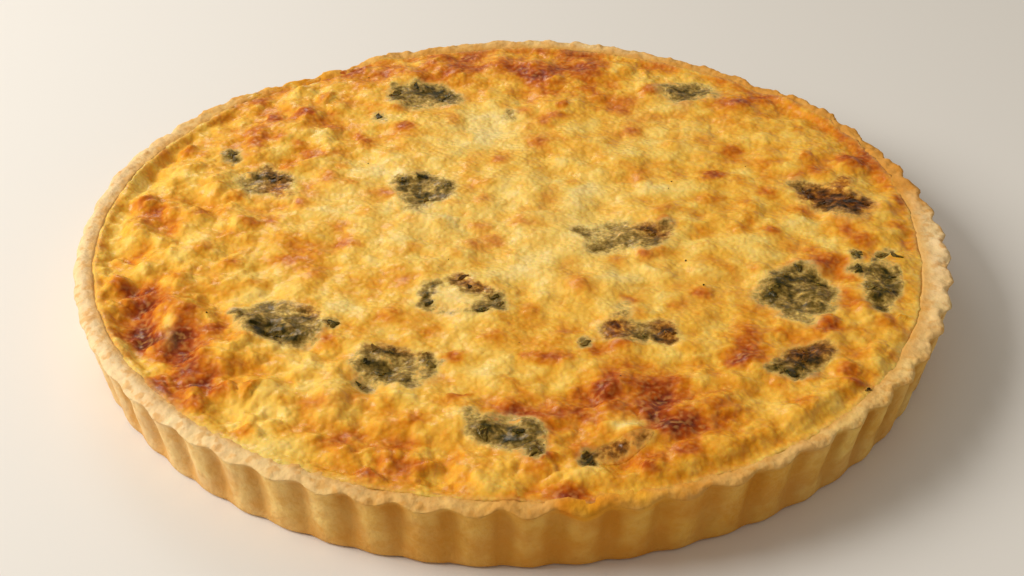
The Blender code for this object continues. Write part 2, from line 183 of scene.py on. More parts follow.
# By bearing: how far the cheese has run over the rim from its mouth, mm
RUN_OVER = (
    (-88, 34, -0.8), (-22, 24, 1.6), (10, 7, 3.0), (30, 14, 0.9), (78, 18, -0.4), (120, 20, 1.8),
    (182, 30, -0.3), (216, 13, 4.6), (250, 14, 0.6),
)
# By bearing: how far it has crept up the wall below the mouth, mm more than elsewhere
CREPT_UP = ((-88, 40, 2.8), (216, 20, 1.5))
# Leaves browned by the oven: from x, y, to x, y, reach (mm), amount
TOASTED_LEAVES = (
    (95, 20, 108, 12, 8, 0.9), (29, -51, 28, -55, 4, 1.0), (77, -65, 84, -63, 5, 0.8),
    (41, 2, 46, -3, 4, 0.7), (-75, 24, -72, 21, 4, 0.8), (42, -51, 43, -57, 4, 0.8),
    (-15, -27, -9, -32, 4, 0.7), (-79, 36, -73, 30, 5, 0.4), (104, 26, 106, 29, 4, 1.0),
    (-38, -60, -24, -62, 3, 0.5), (-58, -40, -54, -44, 4, 0.6), (25, -105, 33, -100, 6, 0.8),
)

# ---------------------------------------------------------------- the camera and the light

CAMERA_PLACE = (0.67, -413.46, 275.23)
CAMERA_PITCH, CAMERA_YAW, CAMERA_ROLL = 33.76, -0.114, 0.138
CAMERA_LENS, SENSOR_WIDTH = 56.25, 36.0
# In metres, as are all lengths of the lamps and the floor
NEAREST_SEEN, FURTHEST_SEEN = 0.01, 20.0
# Lamps: name, place, size, power (watts), colour
LAMPS = (
    ("window", (-0.93, -0.05, 0.69), 0.6, 12.9, (1.0, 0.985, 0.96)),
    ("far_window", (-0.42, 1.05, 0.72), 0.5, 2.6, (1.0, 0.96, 0.92)),
)
LAMPS_AIM = (0, 0, 0.02)
ROOM_COLOUR, ROOM_STRENGTH = (1.0, 0.93, 0.82, 1.0), 0.38
FLOOR_SIZE = 6.0


def make_camera():
    data = bpy.data.cameras.new("camera")
    data.lens, data.sensor_width = CAMERA_LENS, SENSOR_WIDTH
    data.clip_start, data.clip_end = NEAREST_SEEN, FURTHEST_SEEN
    camera = bpy.data.objects.new("camera", data)
    bpy.context.scene.collection.objects.link(camera)
    turn = Matrix.Rotation(math.radians(-CAMERA_YAW), 4, "Z")
    turn @= Matrix.Rotation(math.radians(90.0 - CAMERA_PITCH), 4, "X")
    turn @= Matrix.Rotation(math.radians(CAMERA_ROLL), 4, "Z")
    camera.matrix_world = Matrix.Translation(Vector(CAMERA_PLACE) * MM) @ turn
    bpy.context.scene.camera = camera


def make_lamp(name, place, size, power, colour):
    """A soft square lamp at a place, turned to the pie."""
    data = bpy.data.lights.new(name, "AREA")
    data.shape, data.size, data.energy, data.color = "SQUARE", size, power, colour
    lamp = bpy.data.objects.new(name, data)
    bpy.context.scene.collection.objects.link(lamp)
    lamp.location = place
    lamp.rotation_euler = (Vector(LAMPS_AIM) - Vector(place)).to_track_quat("-Z", "Y").to_euler()


def make_studio():
    scene = bpy.context.scene
    scene.view_settings.view_transform = "Standard"
    world = bpy.data.worlds.new("studio")
    scene.world = world
    world.use_nodes = True
    room = world.node_tree.nodes["Background"]
    room.inputs["Color"].default_value = ROOM_COLOUR
    room.inputs["Strength"].default_value = ROOM_STRENGTH
    for lamp in LAMPS:
        make_lamp(*lamp)
    bpy.ops.mesh.primitive_plane_add(size=FLOOR_SIZE, location=(0, 0, 0))
    floor = bpy.context.object
    floor.name = "floor"
    surface = new_material("pale_floor", 0.6)
    surface.set(surface.shader, "Base Color", srgb(226, 221, 213))
    floor.data.materials.append(surface.made)


# ---------------------------------------------------------------- shaping helpers

# Factors that make a random share of a point's place
SHARE_X, SHARE_Y, SHARE_Z, SHARE_GAIN = 127.1, 311.7, 74.7, 43758.5


def bell(distance, reach):
    return np.exp(-(distance / reach) ** 2)


def ease(low, high, value):
    """0 at or below low, 1 at or above high, smooth between them."""
    share = np.clip((value - low) / (high - low), 0.0, 1.0)
    return share * share * (3.0 - 2.0 * share)


def by_bearing(bearing, changes):
    """The sum of soft changes, each round a bearing with a half width and an amount."""
    total = np.zeros_like(bearing)
    for centre, half_width, amount in changes:
        total += amount * bell((bearing - centre + 180.0) % 360.0 - 180.0, half_width)
    return total


def around(bearing, radius, height):
    """Points at bearings, radii and heights, as rows of x, y, z."""
    angle = np.radians(bearing)
    flat = np.zeros_like(angle)
    return np.stack([radius * np.sin(angle), -radius * np.cos(angle), height + flat], axis=-1)


def polar(x, y):
    """The bearings and radii of places x, y."""
    return np.degrees(np.arctan2(x, -y)), np.hypot(x, y)


def rows_of(x, y):
    """Places x, y as rows of x, y, z at height 0."""
    return np.stack([x, y, np.zeros_like(x)], axis=-1)


def noise_at(points, size, shift=0.0):
    """Smooth noise from -1 to 1 at rows of x, y, z, with features about size across."""
    return np.array([noise.noise(Vector(point)) for point in points / size + (0.0, 0.0, shift)])


def cloudy_at(points, size, shift=0.0, octaves=4):
    """Noise with finer and finer detail in it."""
    moved = points / size + (0.0, 0.0, shift)
    return np.array([noise.fractal(Vector(p), 0.9, 2.1, octaves) for p in moved])


def cells_at(points, size, shift=0.0):
    """Distance to the nearest of scattered points about size apart, and that one's random share."""
    near, share = np.empty(len(points)), np.empty(len(points))
    for k, place in enumerate(points / size + (0.0, 0.0, shift)):
        distances, centres = noise.voronoi(Vector(place))
        x, y, z = centres[0]
        near[k] = distances[0]
        share[k] = math.sin(x * SHARE_X + y * SHARE_Y + z * SHARE_Z) * SHARE_GAIN % 1.0
    return near, share


def rim_noise(bearing, waves):
    """Noise round the pie, finer with more waves, that meets itself."""
    return noise_at(around(bearing, waves, 0.0), 1.0)


def segment_distance(x, y, x1, y1, x2, y2):
    """How far places x, y lie from the stroke from x1, y1 to x2, y2."""
    dx, dy = x2 - x1, y2 - y1
    length = dx * dx + dy * dy
    share = np.clip(((x - x1) * dx + (y - y1) * dy) / length, 0, 1) if length else 0.0
    return np.hypot(x - x1 - share * dx, y - y1 - share * dy)


def spread(x, y, places):
    """The sum of soft strokes, each from x, y, to x, y, with a reach and an amount."""
    total = np.zeros_like(x)
    for x1, y1, x2, y2, reach, amount in places:
        total += amount * bell(segment_distance(x, y, x1, y1, x2, y2), reach)
    return total


def bearings_of(points):
    return polar(points[:, 0], points[:, 1])[0]


def select_none():
    bpy.ops.object.select_all(action="DESELECT")


def points_of(piece):
    """A piece's points in mm, as rows of x, y, z."""
    flat = np.empty(len(piece.data.vertices) * 3)
    piece.data.vertices.foreach_get("co", flat)
    return flat.reshape(-1, 3) / MM


def move_points(piece, points):
    piece.data.vertices.foreach_set("co", (points * MM).ravel())
    piece.data.update()


def normals_of(piece):
    flat = np.empty(len(piece.data.vertices) * 3)
    piece.data.vertices.foreach_get("normal", flat)
    return flat.reshape(-1, 3)


def paint(piece, name, values):
    """Store one value for each point, for a material to read."""
    layer = piece.data.attributes.new(name, "FLOAT", "POINT")
    layer.data.foreach_set("value", np.clip(values, 0.0, 1.0).astype(np.float32))


def edit(piece):
    bpy.context.view_layer.objects.active = piece
    bpy.ops.object.mode_set(mode="EDIT")


def leave_edit():
    bpy.ops.object.mode_set(mode="OBJECT")


def pick_border():
    bpy.ops.mesh.select_mode(type="EDGE")
    bpy.ops.mesh.select_all(action="DESELECT")
    bpy.ops.mesh.select_non_manifold()


def extrude_rows(piece, rows):
    """Extrude the open border of a piece again and again, each time onto row(bearings), and close it."""
    edit(piece)
    pick_border()
    for row in rows:
        bpy.ops.mesh.extrude_region_move()
        mesh = bmesh.from_edit_mesh(piece.data)
        moved = [vertex for vertex in mesh.verts if vertex.select]
        here = np.array([vertex.co[:] for vertex in moved])
        for vertex, place in zip(moved, row(bearings_of(here)) * MM):
            vertex.co = place
        bmesh.update_edit_mesh(piece.data)
    bpy.ops.mesh.edge_face_add()
    leave_edit()


def face_outwards(piece):
    edit(piece)
    bpy.ops.mesh.select_all(action="SELECT")
    bpy.ops.mesh.normals_make_consistent(inside=False)
    leave_edit()


def dress(piece, name, node, material):
    """Name a finished piece, give it its material and put it in the frame."""
    piece.name = name
    piece.data.name = name
    piece.data.materials.clear()
    piece.data.materials.append(material)
    select_none()
    piece.select_set(True)
    bpy.context.view_layer.objects.active = piece
    bpy.ops.object.shade_smooth()
    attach(piece, "root")
    if node:
        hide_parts(node)


# ---------------------------------------------------------------- the pastry case

CRUST_COLUMNS = FLUTES * 26
SIDE_ROWS = 18
RIM_ROWS = 14
INNER_ROWS = 7
LIP_THICKNESS = 1.1
LIP_FILL = 0.12             # how much of each groove the rim's lip covers
BURR = 0.2                  # how far the lip stands out beyond the flute tips, mm
LIP_DIP = 0.45              # how much lower the rim is at its inner edge, mm
# By bearing: how much rounder the lip's outer edge is
SOFTER_LIP = ((-60, 40, 1.0),)
# How much of the flutes' depth fades out towards that lip, and between which depths below the rim, mm
SOFTER_FADE, FADE_FROM, FADE_TO = 0.6, 7, 1
# By bearing: how much deeper the dip is, how far the lip hangs at the flute tips, how jagged it is, mm
DEEPER_DIP = ((82, 30, 0.7), (122, 30, 0.5), (-30, 60, 0.3), (182, 30, 0.9))
TIP_DROOP = ((4, 26, 1.2), (-48, 34, 0.7), (70, 34, 0.5), (180, 60, 0.5))
ZIGZAG = ((72, 30, 0.9), (105, 20, 0.4), (8, 24, 0.3))
# Height and size of the pastry's waves, mm
DOUGH_WAVES, DOUGH_WAVE_SIZE = 0.22, 6.0
# Height of its crumb, what the rim adds to it, and the crumb's size, mm
CRUMB, RIM_CRUMB, CRUMB_SIZE = 0.11, 0.05, 1.9
# How lumpy the rim is, and by bearing how much more than elsewhere
LUMPY = 0.7
LUMPIER_RIM = ((-60, 40, -0.35), (35, 30, -0.4), (115, 30, 0.9), (180, 50, 0.5))
# How ragged its outer edge is, the same way
RAGGED = 0.4
MORE_RAGGED = ((75, 35, 0.5), (-55, 25, 0.25))
# By bearing: where the rim has slumped and melted cheese lies on it
SLUMPED = ((216, 11, 1.0),)


def flute_turn(bearing):
    """A multiple of pi at each flute's tip."""
    strayed = bearing + FLUTE_WANDER * rim_noise(bearing, 4.0)
    return np.radians(FLUTES * (strayed - FIRST_FLUTE_BEARING) / 2)


def flute_bulge(bearing):
    """1 on a flute's tip, GROOVE_ROUNDING in the groove beside it."""
    sharp = GROOVE_ROUNDING ** 2
    return np.sqrt(sharp + (1 - sharp) * np.cos(flute_turn(bearing)) ** 2)


def flute_saw(bearing):
    """A lopsided saw: 1 on a flute's tip, -1 in the groove beside it."""
    phase = (flute_turn(bearing) / math.pi + 0.08) % 1.0
    return 1 - 2 * np.minimum(phase / 0.6, (1 - phase) / 0.4)


def flute_radius(bearing, height):
    """The outer wall's radius at a height."""
    depth = FLUTE_DEPTH * (1 + 0.2 * rim_noise(bearing + 90.0, 6.0)) + by_bearing(bearing, DEPTH_CHANGES)
    depth = depth * (FOOT_DEPTH_SHARE + (1 - FOOT_DEPTH_SHARE) * np.minimum(height / FADE_HEIGHT, 1.0))
    near_rim = ease(RIM_HEIGHT - FADE_FROM, RIM_HEIGHT - FADE_TO, height)
    depth *= 1 - SOFTER_FADE * by_bearing(bearing, SOFTER_LIP) * near_rim
    lean = (PIE_DIAMETER - FOOT_DIAMETER) * np.minimum(height / RIM_HEIGHT, 1.0)
    groove = (1 - flute_bulge(bearing)) / (1 - GROOVE_ROUNDING)
    return (FOOT_DIAMETER + lean) / 2 - depth * groove


def crest_height(bearing):
    return RIM_HEIGHT + by_bearing(bearing, CREST_CHANGES) + CREST_CRAG * rim_noise(bearing, 14.0)


def mouth_radius(bearing):
    """The rim's inner edge."""
    width = RIM_WIDTH + by_bearing(bearing, WIDER_RIM) + 0.5 * rim_noise(bearing, 9.0)
    return PIE_DIAMETER / 2 - width


def wall_radius(bearing, height):
    """The inner wall's radius at a height."""
    mouth = mouth_radius(bearing)
    shoulder = mouth - WALL_LEAN - by_bearing(bearing, MORE_WALL_LEAN)
    knee, lip = RIM_HEIGHT - SHOULDER_DROP, crest_height(bearing) - LIP_ROUNDING
    low = (height - BASE_THICKNESS) / (knee - BASE_THICKNESS)
    high = np.clip((height - knee) / (lip - knee), 0.0, 1.0)
    return np.where(height < knee, shoulder - FLOOR_LEAN * (1 - low), shoulder + (mouth - shoulder) * high)


def lip_radius(bearing):
    """The rim's outer edge, which hangs over the grooves a little."""
    crest = crest_height(bearing)
    tips = PIE_DIAMETER / 2
    outline = tips - (1 - LIP_FILL) * (tips - flute_radius(bearing, crest))
    jagged = 0.5 * by_bearing(bearing, ZIGZAG) * (flute_saw(bearing) + 0.6 * rim_noise(bearing, 40.0))
    return outline + jagged + BURR * (0.3 + rim_noise(bearing, 22.0))


def rim_height(bearing, across):
    """The rim's surface, from its outer edge at 0 to its mouth at 1."""
    soft = by_bearing(bearing, SOFTER_LIP)
    curve = np.sin(math.pi * (0.03 + 0.47 * np.minimum(across / (0.35 + 0.3 * soft), 1.0)))
    rounding = (LIP_THICKNESS + 1.1 * soft) * (1 - curve ** (0.6 + 0.2 * soft))
    hang = by_bearing(bearing, TIP_DROOP) * (flute_bulge(bearing) ** 2 - 0.3)
    droop = hang * np.clip(1 - across / 0.7, 0.0, 1.0) ** 1.3
    dip = (LIP_DIP + by_bearing(bearing, DEEPER_DIP)) * across ** 1.5
    return crest_height(bearing) - rounding - droop - dip


def crust_rows():
    """The case's section, row by row, from the foot over the rim to the base inside."""
    def side(share):
        def row(bearing):
            top = rim_height(bearing, 0.0) - 0.3
            height = FOOT_ROUNDING + share * (top - FOOT_ROUNDING)
            return around(bearing, flute_radius(bearing, height), height)
        return row

    def rim(share):
        def row(bearing):
            outer, inner = lip_radius(bearing), mouth_radius(bearing)
            across = share ** 1.15
            return around(bearing, outer + (inner - outer) * across, rim_height(bearing, across))
        return row

    def inside(share):
        def row(bearing):
            top = rim_height(bearing, 1.0)
            height = top + share * (BASE_THICKNESS - top)
            return around(bearing, wall_radius(bearing, height), height)
        return row

    rows = [side(k / SIDE_ROWS) for k in range(SIDE_ROWS + 1)]
    rows += [rim(k / RIM_ROWS) for k in range(RIM_ROWS)]
    rows += [inside(k / INNER_ROWS) for k in range(INNER_ROWS + 1)]
    return rows


def make_crust(material):
    """A disc drawn up from the foot, over the rim and down inside, then roughened and painted."""
    select_none()
    bpy.ops.mesh.primitive_circle_add(vertices=CRUST_COLUMNS, radius=0.1, fill_type="NGON")
    crust = bpy.context.object
    bearing = bearings_of(points_of(crust))
    move_points(crust, around(bearing, flute_radius(bearing, np.zeros_like(bearing)) - FOOT_ROUNDING, 0.0))
    extrude_rows(crust, crust_rows())
    face_outwards(crust)
    finish_crust(crust)
    dress(crust, "pastry_case", "crust", material)


def finish_crust(crust):
    """Roughen the case, above all its rim, and paint where it is pale, browned or covered in cheese, with
    painted light on its sides and painted shade in its grooves.
    """
    points = points_of(crust)
    bearing, radius = polar(points[:, 0], points[:, 1])
    below = rim_height(bearing, 0.0) - points[:, 2]
    standing = ease(0.0, 1.5, points[:, 2])
    on_rim = ease(0.2, -0.6, below)
    across = (lip_radius(bearing) - radius) / (lip_radius(bearing) - mouth_radius(bearing))
    outer_edge = bell(across, 0.3) * on_rim
    crumb = DOUGH_WAVES * cloudy_at(points, DOUGH_WAVE_SIZE)
    crumb += (CRUMB + RIM_CRUMB * on_rim) * cloudy_at(points, CRUMB_SIZE, 9.0)
    lumps = 0.5 * noise_at(points, 3.4, 50.0) + 0.25 * noise_at(points, 1.6, 60.0)
    ragged = np.maximum(cloudy_at(points, 2.6, 30.0, 2), -0.35) * outer_edge
    cheesed = np.clip(spread(points[:, 0], points[:, 1], SPILLS), 0, 1) * ease(3.0, 0.8, below)
    slumped = by_bearing(bearing, SLUMPED) * ease(4.0, 2.0, below)
    lumpy = LUMPY + by_bearing(bearing, LUMPIER_RIM)
    raggedness = RAGGED + by_bearing(bearing, MORE_RAGGED)
    out = crumb + lumps * lumpy * on_rim + raggedness * ragged + 0.5 * cheesed + 0.4 * slumped
    points += normals_of(crust) * (out * standing)[:, None]
    move_points(crust, points)

    paint(crust, "cheesed", cheesed + slumped)
    fade = 0.4 + (1.2 + 2.5 * ease(0.75, 1.0, flute_bulge(bearing))) * ease(-10.0, -60.0, bearing)
    paint(crust, "crest", ease(fade, -0.4, below) * (0.85 + 0.5 * lumps))
    paint(crust, "inner", ease(0.45, 1.0, across + 0.3 * lumps) * ease(110.0, 114.0, radius))
    # The grooves are painted darker: partly the pastry's browning, partly painted shade in the recesses of
    # the flutes
    deep = ease(0.93, 0.42, flute_bulge(bearing)) * (0.8 + 0.5 * noise_at(points, 16.0, 70.0))
    deep *= 0.45 + 0.55 * points[:, 2] / RIM_HEIGHT
    paint(crust, "groove", deep * ease(0.0, 1.0, below) * ease(120.0, 124.0, radius))
    # Paler paint: partly pastry that stayed pale, partly painted light on the sides where more light falls
    paint(crust, "pale", by_bearing(bearing, PALE_AND_LIT_CRUST) + 0.2 * noise_at(points, 9.0, 80.0))
    toasted = by_bearing(bearing, TOASTED_RIM)
    paint(crust, "toasted", toasted + 0.3 * cloudy_at(points, 12.0, 3.0) + 0.25 * lumps)


# ---------------------------------------------------------------- the filling

FILLING_GRID = 300
FILLING_SIDE_ROWS = 4
FILM = 0.3                  # how thick the cheese is on the rim, mm
CREEP = 2.6                 # how far in from the rim's mouth the cheese begins to rise, mm
# Sizes of the unevenness of the cheese, mm
WARP_SIZE, LUMP_SIZE, BEAD_SIZE, SHRED_SIZE, PUFF_SIZE, WRINKLE_SIZE = 6.0, 8.0, 3.8, 7.0, 11.0, 4.4
# Heights of lumps, beads, shreds and puffs where the strength of the relief is 1, mm
LUMPS_HIGH, BEADS_HIGH, SHREDS_HIGH, PUFFS_HIGH = 1.1, 0.65, 0.15, 1.3
# Height of the wrinkles, and what the outer part of the top adds to it, mm
WRINKLES_HIGH, OUTER_WRINKLES = 0.04, 0.08
NODULES_HIGH = 2.4          # height of a nodule for each 1 of its browning, mm
OUTER_FROM, OUTER_TO = 60.0, 105.0      # the outer part of the top sets in between these radii, mm
# The usual browning, and the shares of the strokes of BROWNED and PALE that change it
USUALLY_BROWNED, STROKE_BROWNED, STROKE_PALE = 0.3, 0.82, 0.28
# By bearing: how blistered and pale the cheese is in a ring near the rim's mouth
BLISTERED = ((-85, 24, 1.0), (-45, 18, 0.4))
BLISTERS_IN, BLISTERS_REACH = 4.5, 2.2      # how far in from the mouth the ring lies, and its reach, mm
# By bearing: how browned the cheese is near the rim and on it
EDGE_BROWNED = ((-55, 40, 0.06), (5, 10, 0.1), (90, 16, 0.1), (122, 30, 0.17), (185, 45, 0.14))
# By bearing: how browned the outer part of the top is, more than elsewhere
OUTER_BROWNED = ((10, 16, 0.06), (-32, 20, -0.1), (95, 30, -0.03), (50, 20, -0.01), (-105, 25, -0.05))
# By bearing: how much rougher the outer part of the top is
OUTER_STRENGTH = ((-75, 45, 0.8), (5, 35, 0.5), (110, 50, -0.3), (180, 35, -0.3))
CALM_HEIGHT, RELIEF_ROOM = 22.6, 1.7    # above this height the top flattens and stays within this room, mm


def edge_height(bearing):
    return RIM_HEIGHT - EDGE_DROP + by_bearing(bearing, EDGE_CHANGES)


def edge_radius(bearing):
    return wall_radius(bearing, edge_height(bearing))


def cheese_reach(bearing):
    """The radius where the cheese ends on the rim."""
    run = 0.45 + 0.5 * rim_noise(bearing, 16.0) + 0.35 * rim_noise(bearing, 45.0)
    run += by_bearing(bearing, RUN_OVER)
    return mouth_radius(bearing) + np.minimum(run, lip_radius(bearing) - mouth_radius(bearing) - 0.2)


def base_top(x, y):
    """The broad form of the top."""
    flat = rows_of(x, y)
    bearing, radius = polar(x, y)
    reach, edge = edge_radius(bearing), edge_height(bearing)
    middle = RIM_HEIGHT - MIDDLE_DROP
    height = middle + (edge - middle) * np.minimum(radius / reach, 1.0) ** 6
    height += PUFFED_RING * bell(radius - PUFFED_RING_RADIUS, PUFFED_RING_REACH)
    height += WAVE_HEIGHT * noise_at(flat, WAVE_SIZE, 3.0 / WAVE_SIZE)
    height += SWELL_HEIGHT * noise_at(flat, SWELL_SIZE, 40.0 / SWELL_SIZE)
    height += spread(x, y, RELIEF)
    return edge + (height - edge) * np.clip((reach - radius) / 6.0, 0.0, 1.0)


def dome(near, reach):
    return np.clip(1 - (near / reach) ** 2, 0, 1) ** 1.5


def cheese_texture(flat):
    """Lumps with each one's random share, beads, shreds, puffs and wrinkles, at most 1 high."""
    warp = rows_of(noise_at(flat, WARP_SIZE, 1.0), noise_at(flat, WARP_SIZE, 7.0))
    warped = flat + 1.5 * warp
    near, kind = cells_at(warped, LUMP_SIZE)
    lumps = dome(near, 0.7) * ease(0.3, 0.95, kind)
    near, fine_kind = cells_at(warped, BEAD_SIZE, 5.0)
    beads = dome(near, 0.75) * (0.35 + 0.65 * fine_kind)
    shreds = np.clip(1 - 2.4 * np.abs(noise_at(flat + 3.0 * warp, SHRED_SIZE, 11.0)), -0.6, 1)
    puffs = noise_at(flat + 1.5 * warp, PUFF_SIZE, 33.0)
    wrinkles = np.clip(1 - 2.6 * np.abs(noise_at(flat + 2.0 * warp, WRINKLE_SIZE, 17.0)), -0.3, 1)
    return lumps, kind, beads, shreds, puffs, wrinkles


def baked_top(x, y):
    """The baked cheese at x, y: its height and its browning, which also carries painted highlight and
    shade on its beads and puffs.
    """
    flat = rows_of(x, y)
    bearing, radius = polar(x, y)
    lip, mouth = lip_radius(bearing), mouth_radius(bearing)
    inside = cheese_reach(bearing) - radius
    outer = ease(OUTER_FROM, OUTER_TO, radius)
    lumps, kind, beads, shreds, puffs, wrinkles = cheese_texture(flat)
    nodules = spread(x, y, [(x1, y1, x1, y1, reach, amount) for x1, y1, reach, amount in NODULES])
    blistered = by_bearing(bearing, BLISTERED) * bell(mouth - BLISTERS_IN - radius, BLISTERS_REACH)

    strength = 0.4 + 0.45 * ease(-0.35, 0.4, cloudy_at(flat, 26.0, 12.0, 2))
    strength += outer * (0.5 + by_bearing(bearing, OUTER_STRENGTH))
    relief = LUMPS_HIGH * lumps + BEADS_HIGH * beads + SHREDS_HIGH * shreds + PUFFS_HIGH * puffs
    fine_relief = (WRINKLES_HIGH + OUTER_WRINKLES * outer) * wrinkles + NODULES_HIGH * nodules
    relief = strength * relief + fine_relief
    film = FILM * (1 - 1.6 * np.exp(-np.maximum(inside, 0) / 0.6))
    on_rim = rim_height(bearing, np.clip((lip - radius) / (lip - mouth), 0, 1)) + film
    over_rim = ease(CREEP + by_bearing(bearing, CREPT_UP), 0.0, mouth - radius)
    height = base_top(x, y) * (1 - over_rim) + on_rim * over_rim
    height += (relief - 0.5) * (0.15 + 0.85 * ease(0.3, 4.0, mouth - radius)) * ease(0.0, 1.0, inside)
    height += 0.8 * blistered * beads
    over = np.maximum(height - CALM_HEIGHT, 0) / RELIEF_ROOM
    height = np.where(over > 0, CALM_HEIGHT + RELIEF_ROOM * np.tanh(over), height)

    toast = spread(x, y, BROWNED) + nodules
    patchy, spotty = cloudy_at(flat, 16.0, 20.0, 2), noise_at(flat, 5.5, 24.0)
    browned = USUALLY_BROWNED + 0.17 * patchy + 0.06 * spotty
    browned += STROKE_BROWNED * toast * (0.98 + 0.28 * spotty + 0.15 * patchy)
    browned += 0.26 * lumps ** 1.5 * ease(0.65, 0.85, kind)
    # The tops of beads and puffs are painted paler as painted highlight, and the hollows between them more
    # orange as painted shade; the shreds and blisters are paler cheese
    browned -= (0.09 + 0.3 * toast) * (beads - 0.3) + 0.04 * shreds + 0.09 * puffs + 0.12 * blistered
    browned += outer * (0.05 + by_bearing(bearing, OUTER_BROWNED)) - STROKE_PALE * spread(x, y, PALE)
    browned += by_bearing(bearing, EDGE_BROWNED) * ease(8.0, 1.0, mouth - radius)
    return height, browned


# ---------------------------------------------------------------- leaves in the custard

LEAF_STRENGTH = 0.66        # how bare a stroke of amount 1 lays the leaves
LEAF_DIP = 0.35             # twice how deep the surface dips where leaves lie half bare, mm
# How much leaf shows faintly all over each clump
VEILS = (0.34, 0.16, 0.24, 0.22, 0.28, 0.2, 0.27, 0.26, 0.1, 0.28, 0.34, 0.18, 0.28, 0.19, 0.09)


def leaf_dip(bare):
    """The height that leaves add: lowest where they lie half bare, none where wholly bare."""
    return LEAF_DIP * (bare - ease(0.1, 0.5, bare))


def leaf_folds(flat):
    """Crumpled leaves: soft folds and specks, from -1 to 1."""
    warp = 1.2 * rows_of(noise_at(flat, 3.5, 2.0), noise_at(flat, 3.5, 5.0))
    broad, fine = noise_at(flat + warp, 2.6, 9.0), noise_at(flat + warp, 1.2, 14.0)
    return np.clip(1.2 * broad + 0.5 * fine, -1, 1)


def bareness(x, y):
    """How bare the leaves are, from 0 where the custard hides them to 1."""
    flat = rows_of(x, y)
    hidden = np.ones_like(x)
    stray = 1.2 * np.stack([noise_at(flat, 3.0, 21.0), noise_at(flat, 3.0, 27.0)], axis=-1)
    for x1, y1, x2, y2, reach, amount in LEAVES:
        away = segment_distance(x + stray[:, 0], y + stray[:, 1], x1, y1, x2, y2)
        hidden *= 1 - LEAF_STRENGTH * amount * bell(away, 1.15 * reach + 0.4)
    for index, (entry, veil) in enumerate(zip(SPINACH, VEILS), start=1):
        hidden *= 1 - veil * ease(1.08, 0.6, clump_share(x, y, index, entry))
    bare = 1 - hidden
    near = bare > 0.02
    folds = np.zeros_like(x)
    folds[near] = leaf_folds(flat[near])
    return np.clip(bare * (1 + 0.3 * folds) + 0.18 * folds * ease(0.1, 0.4, bare), 0, 1)


def clump_share(x, y, index, entry):
    """How far points lie from a clump's middle, as a share of the way to its outline."""
    cx, cy, length, width, turn = entry
    lean = math.radians(turn)
    along = (x - cx) * math.cos(lean) + (y - cy) * math.sin(lean)
    across = (y - cy) * math.cos(lean) - (x - cx) * math.sin(lean)
    angle = np.arctan2(across / (width / 2), along / (length / 2))
    ragged = clump_ragged(angle, index)
    return np.hypot(along / (length / 2 * ragged), across / (width / 2 * ragged))


def clump_ragged(angle, index):
    """How far a clump's ragged outline lies out, as a share of its plain oval, at an angle."""
    rows = np.stack([1.3 * np.cos(angle), 1.3 * np.sin(angle), np.full_like(angle, 9.0 * index)], axis=-1)
    return 1 + CLUMP_RAGGED * noise_at(rows, 1.0)


# ---------------------------------------------------------------- making the filling

POCKET_DEPTH = 2.0          # how far the filling sinks under each clump, mm


def square_to_round(u, v):
    """Move points of a square from -1 to 1 onto the disc of radius 1."""
    return u * np.sqrt(1 - v * v / 2), v * np.sqrt(1 - u * u / 2)


def make_filling(material):
    """A square grid pulled round, sculpted on top and drawn down to the base of the case."""
    select_none()
    bpy.ops.mesh.primitive_grid_add(x_subdivisions=FILLING_GRID, y_subdivisions=FILLING_GRID, size=2.0)
    filling = bpy.context.object
    grid = points_of(filling) * MM
    x, y = square_to_round(grid[:, 0], grid[:, 1])
    bearing, share = polar(x, y)
    points = around(bearing, share * cheese_reach(bearing), 0.0)
    x, y = points[:, 0], points[:, 1]
    height, browned = baked_top(x, y)
    bare = bareness(x, y)
    height += leaf_dip(bare)
    for index, entry in enumerate(SPINACH, start=1):
        near = np.hypot(x - entry[0], y - entry[1]) < entry[2]
        away = clump_share(x[near], y[near], index, entry)
        height[near] -= POCKET_DEPTH * ease(0.82, 0.5, away)
    points[:, 2] = height
    move_points(filling, points)
    paint_top(filling, x, y, browned, bare)
    extrude_rows(filling, filling_rows())
    face_outwards(filling)
    dress(filling, "cheese_filling", "filling", material)


def paint_top(piece, x, y, browned, bare):
    """Paint where the top is browned, milky and leafy, and where its leaves are browned; the browning also
    carries painted highlight and shade.
    """
    bearing, radius = polar(x, y)
    edge = cheese_reach(bearing) - radius
    paint(piece, "browned", browned)
    toasted = np.clip(spread(x, y, TOASTED_LEAVES), 0, 1)
    milky = 0.7 * ease(0.02, 0.2, bare) * (1 - toasted)
    paint(piece, "pale", milky + 0.6 * spread(x, y, PALE) + 0.6 * ease(2.4, 0.0, edge))
    paint(piece, "leafy", bare)
    paint(piece, "toasted", toasted)


def filling_rows():
    """The filling's side, row by row, from below its top down the case to the base."""
    def on_wall(share):
        def row(bearing):
            top = np.minimum(edge_height(bearing), rim_height(bearing, 1.0)) - 0.8
            height = top + share * (BASE_THICKNESS + 0.1 - top)
            return around(bearing, wall_radius(bearing, height) + 0.1, height)
        return row

    return [on_wall(k / FILLING_SIDE_ROWS) for k in range(FILLING_SIDE_ROWS + 1)]


# ---------------------------------------------------------------- the spinach

CLUMP_GRID = 72
CLUMP_DEPTH = 3.0
CLUMP_PROUD, CLUMP_EDGE_DROP = 0.04, 0.6    # how far a clump stands proud, and its edge sinks, mm
# Rows that close a clump below: share of the width above, and share of the way to the bottom
CLUMP_BELOW = ((0.8, 0.5), (0.5, 0.6))


